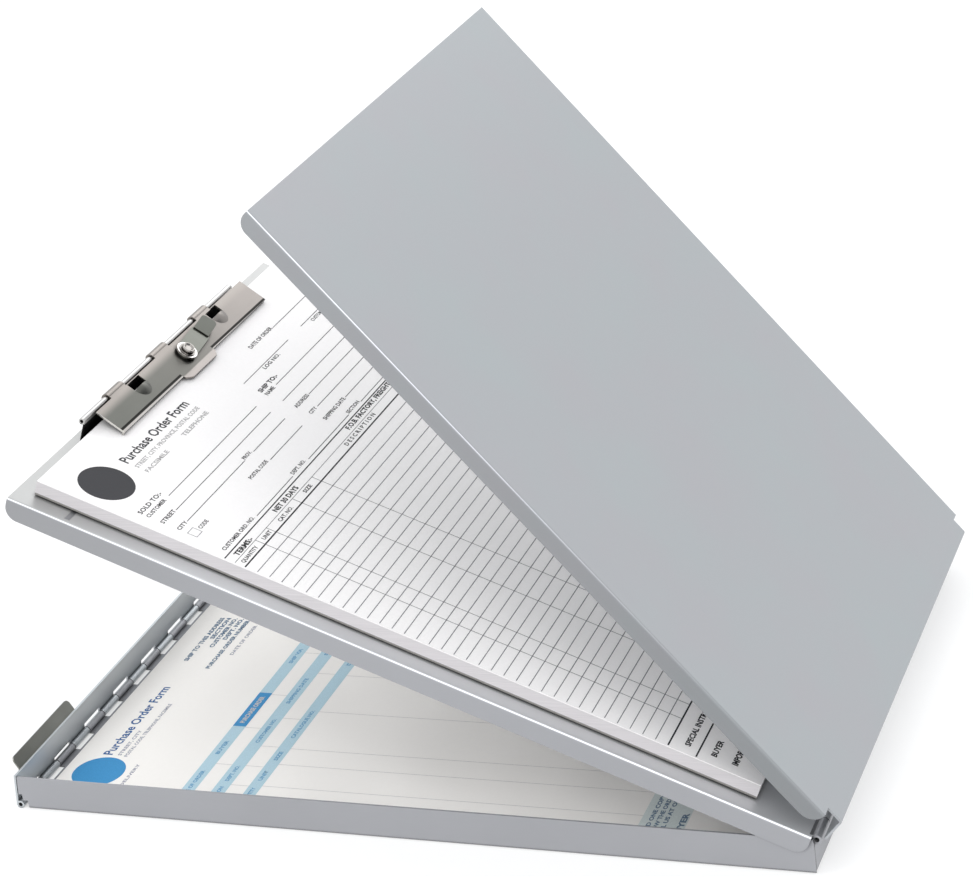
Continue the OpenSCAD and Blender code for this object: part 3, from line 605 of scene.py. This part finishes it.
# Each entry has two rows, and the rules that run down between them.
TRAY_COLUMNS = (
    (60.3, 67.1, (33.4, 60.5, 86.0, 120.0, 152.0)),
    (72.9, 80.4, (19.8, 33.5, 48.0, 69.0, 104.5, 150.0)),
    (85.7, 236.4, (20.5, 36.0, 47.5, 75.5, 104.0, 140.0, 172.0)),
)
TRAY_LABELS = (
    ("DATE OF ORDER", 8.0, 28.0, 57.5, 1.6), ("BUYER", 40.0, 50.0, 57.5, 1.6),
    ("SHIP VIA", 111.0, 123.0, 57.5, 1.6), ("TERMS", 128.0, 138.0, 57.5, 1.6),
    ("F.O.B.", 160.0, 168.0, 57.5, 1.6), ("SECTION", 8.0, 18.0, 70.0, 1.6),
    ("DEPT. NO.", 22.0, 33.0, 70.0, 1.6), ("CUSTOMER NO.", 50.0, 68.0, 70.0, 1.6),
    ("SHIPPING DATE", 80.0, 100.0, 70.0, 1.6), ("SPECIAL INSTRUCTIONS", 119.0, 147.0, 70.0, 1.6),
    ("QUANTITY", 7.5, 19.0, 83.0, 1.6), ("UNIT", 24.0, 31.0, 83.0, 1.6), ("SIZE", 38.5, 45.0, 83.0, 1.6),
    ("CATALOGUE NO.", 55.0, 76.0, 83.0, 1.6), ("DESCRIPTION", 112.0, 134.0, 83.0, 1.6),
)
TRAY_ADDRESS = (
    ("STREET, CITY", 34.0, 53.0, 17.9, 1.5), ("POSTAL CODE, TELEPHONE, FACSIMILE", 33.5, 74.0, 20.9, 1.5),
    ("DATE OF ORDER", 115.0, 140.0, 29.0, 1.6), ("DELIVERY", 13.0, 29.0, 29.1, 1.4),
)
TRAY_RIGHT_BLOCK = (
    ("SHIP TO THIS ADDRESS", 108.0, 145.0, 11.3, 1.9), ("SECTION", 127.0, 145.0, 14.3, 1.9),
    ("CUSTOMER NO.", 120.0, 145.0, 17.3, 1.9), ("DEPT. NO.", 127.0, 145.0, 20.3, 1.9),
    ("PURCHASE ORDER NUMBER", 103.0, 144.0, 23.6, 1.8),
)
TRAY_FOOT_WORDS = (
    ("SEND ONE COPY OF THE INVOICE WITH THE GOODS", 8.0, 92.0, 240.0, 1.6),
    ("SHOW THE ORDER NUMBER ON EACH PACKAGE", 8.0, 80.0, 242.9, 1.6),
    ("TELL US AT ONCE OF ANY DELAY", 8.0, 64.0, 245.7, 1.6),
    ("BUYER", 8.0, 24.0, 251.8, 2.2), ("DATE", 60.0, 72.0, 251.8, 2.2), ("TOTAL", 112.0, 126.0, 251.8, 2.2),
)


def band(shape, top, bottom):
    """A printed band across the form in the tray, between two rows."""
    bar(shape, TRAY_SHEET, *BAND_ENDS, (top + bottom) / 2, bottom - top)


def print_tray_form():
    """The order form in the tray: blue bands with labels, a heading and a foot."""
    bands = bmesh.new()
    for rows in TRAY_BANDS:
        band(bands, *rows)
    finish_piece("tray_print_bands", bands, BAND_INK, "tray")

    foot = bmesh.new()
    band(foot, *TRAY_FOOT)
    finish_piece("tray_print_foot", foot, FOOT_INK, "tray")

    blue = bmesh.new()
    disc(blue, TRAY_SHEET, *TRAY_DISC)
    bar(blue, TRAY_BAND_PRINT, *TITLE_BOX)
    finish_piece("tray_print_blue", blue, BLUE_INK, "tray")

    heading = bmesh.new()
    words(heading, TRAY_SHEET, *TRAY_HEADING, HEADING)
    finish_piece("tray_print_heading", heading, NAVY_INK, "tray")

    band_labels = bmesh.new()
    labels(band_labels, TRAY_BAND_PRINT, TRAY_LABELS, BOLD)
    finish_piece("tray_print_labels", band_labels, LABEL_INK, "tray")

    rules = bmesh.new()
    for top, bottom, places in TRAY_COLUMNS:
        for across in places:
            column(rules, TRAY_SHEET, across, top, bottom, THIN_RULE)
    words(rules, TRAY_TITLE_PRINT, *TITLE, BOLD)
    finish_piece("tray_print_rules", rules, RULE_INK, "tray")

    address = bmesh.new()
    labels(address, TRAY_SHEET, TRAY_ADDRESS)
    finish_piece("tray_print_address", address, ADDRESS_INK, "tray")

    slate = bmesh.new()
    labels(slate, TRAY_BAND_PRINT, TRAY_RIGHT_BLOCK + TRAY_FOOT_WORDS, BOLD)
    finish_piece("tray_print_slate", slate, SLATE_INK, "tray")


print_pad_form()
print_tray_form()


# ---------------------------------------------------------------- studio

def look_matrix(azimuth, elevation, roll):
    """The camera's turn: azimuth 0 looks along +Y, and roll turns it about its own axis."""
    back = Vector((math.sin(azimuth) * math.cos(elevation), -math.cos(azimuth) * math.cos(elevation),
                   math.sin(elevation)))
    right = Vector((math.cos(azimuth), math.sin(azimuth), 0))
    up = back.cross(right)
    across = math.cos(roll) * right + math.sin(roll) * up
    above = -math.sin(roll) * right + math.cos(roll) * up
    return Matrix((across, above, back)).transposed()


CAMERA_AZIMUTH = math.radians(292.919154)
CAMERA_ELEVATION = math.radians(24.375585)
CAMERA_ROLL = math.radians(-8.18907)
# From the camera to the middle of the tray's hinge end: right, up and backwards.
CAMERA_OFFSET = Vector((142.3406, -93.1423, -1036.3492)) * MM
HINGE_END = Vector((0, -156.25, 0)) * MM
# In pixels: the focal length, where the camera's axis meets the picture, and the picture's size.
FOCAL_LENGTH = 2762.413
AXIS = (508.091, 459.097)
PICTURE = (973, 877)
# The sensor's width in millimetres, and the nearest distance that the camera sees.
SENSOR = 36
NEAREST = 10 * MM


def add_camera():
    """A camera with a small shift, as the view is a cut-out of a larger one."""
    turn = look_matrix(CAMERA_AZIMUTH, CAMERA_ELEVATION, CAMERA_ROLL)
    place = turn @ -CAMERA_OFFSET + HINGE_END
    width, height = PICTURE
    camera = bpy.data.cameras.new("camera")
    camera.sensor_width = SENSOR
    camera.lens = FOCAL_LENGTH / width * SENSOR
    camera.shift_x = (width / 2 - AXIS[0]) / width
    camera.shift_y = (AXIS[1] - height / 2) / width
    camera.clip_start = NEAREST
    holder = bpy.data.objects.new("camera", camera)
    holder.matrix_world = Matrix.Translation(place) @ turn.to_4x4()
    bpy.context.collection.objects.link(holder)
    bpy.context.scene.camera = holder


def seen_ray(tree):
    """One for a ray that shows a surface directly, in a mirror image or through glass."""
    path = add(tree, "ShaderNodeLightPath")
    total = path.outputs["Is Camera Ray"]
    for output in ("Is Glossy Ray", "Is Transmission Ray"):
        plus = add(tree, "ShaderNodeMath", operation="ADD", use_clamp=True)
        tree.links.new(total, plus.inputs[0])
        tree.links.new(path.outputs[output], plus.inputs[1])
        total = plus.outputs[0]
    return total


# How much the floor shines by itself, for the rays that show it.
FLOOR_LIFT = 0.52
# From the floor's middle to its edge, in metres.
FLOOR_REACH = 6


def add_floor():
    """A pale matt floor, which looks white where it is lit and shows the object's shadow."""
    mesh = bpy.data.meshes.new("floor")
    shape = bmesh.new()
    bmesh.ops.create_grid(shape, x_segments=2, y_segments=2, size=FLOOR_REACH)
    shape.to_mesh(mesh)
    shape.free()
    floor = bpy.data.objects.new("floor", mesh)
    bpy.context.collection.objects.link(floor)
    material, tree, shader = new_material("floor_paint")
    grain = noise(tree, object_pattern(tree), 3, 2.0)
    tree.links.new(ramp(tree, grain, [(0.3, 0.44), (0.7, 0.46)]), shader.inputs["Base Color"])
    set_inputs(shader, Roughness=0.9)
    shader.inputs["Specular IOR Level"].default_value = 0.0
    shader.inputs["Emission Color"].default_value = (1, 1, 1, 1)
    tree.links.new(span(tree, seen_ray(tree), 0.0, FLOOR_LIFT), shader.inputs["Emission Strength"])
    mesh.materials.append(material)


# Each lamp's distance from the room's middle, and its width, in metres.
LAMP_DISTANCE = 1.6
LAMP_WIDTH = 0.9


def add_lamp(name, toward, radiance):
    """A soft square lamp in the given direction, which shows as bright as the radiance says."""
    lamp = bpy.data.lights.new(name, "AREA")
    lamp.shape = "SQUARE"
    lamp.size = LAMP_WIDTH
    lamp.energy = radiance * math.pi * LAMP_WIDTH * LAMP_WIDTH
    direction = Vector(toward).normalized()
    holder = bpy.data.objects.new(name, lamp)
    turn = direction.to_track_quat("Z", "Y")
    holder.matrix_world = Matrix.Translation(direction * LAMP_DISTANCE) @ turn.to_matrix().to_4x4()
    bpy.context.collection.objects.link(holder)


# The direction that the box opens to, and the tent's strength away from it and towards it.
OPEN_SIDE = (-0.8, -0.45, 0.35)
TENT_LOW = 1.1
TENT_HIGH = 1.35


def add_world():
    """A white light tent, a little brighter on the side that the box opens to."""
    world = bpy.data.worlds.new("studio")
    world.use_nodes = True
    bpy.context.scene.world = world
    tree = world.node_tree
    room = tree.nodes["Background"]
    room.inputs["Color"].default_value = (0.97, 0.985, 1.0, 1)
    place = add(tree, "ShaderNodeTexCoord")
    toward = add(tree, "ShaderNodeVectorMath", operation="DOT_PRODUCT")
    toward.inputs[1].default_value = Vector(OPEN_SIDE).normalized()
    tree.links.new(place.outputs["Generated"], toward.inputs[0])
    brightness = add(tree, "ShaderNodeMapRange")
    set_inputs(brightness, From_Min=-0.2, From_Max=1.0, To_Min=TENT_LOW, To_Max=TENT_HIGH)
    tree.links.new(toward.outputs["Value"], brightness.inputs["Value"])
    tree.links.new(brightness.outputs["Result"], room.inputs["Strength"])
    white = add(tree, "ShaderNodeBackground")
    white.inputs["Color"].default_value = (1, 1, 1, 1)
    path = add(tree, "ShaderNodeLightPath")
    mix = add(tree, "ShaderNodeMixShader")
    tree.links.new(path.outputs["Is Camera Ray"], mix.inputs["Fac"])
    tree.links.new(room.outputs["Background"], mix.inputs[1])
    tree.links.new(white.outputs["Background"], mix.inputs[2])
    tree.links.new(mix.outputs["Shader"], tree.nodes["World Output"].inputs["Surface"])


bpy.context.scene.view_settings.view_transform = "Standard"
add_camera()
add_floor()
add_world()
add_lamp("far_side", (0.84, 0.05, 0.62), 1.3)
add_lamp("open_side", (-0.53, -0.45, 0.66), 1.6)
add_lamp("gate_side", (-0.35, 0.75, 0.5), 2.4)
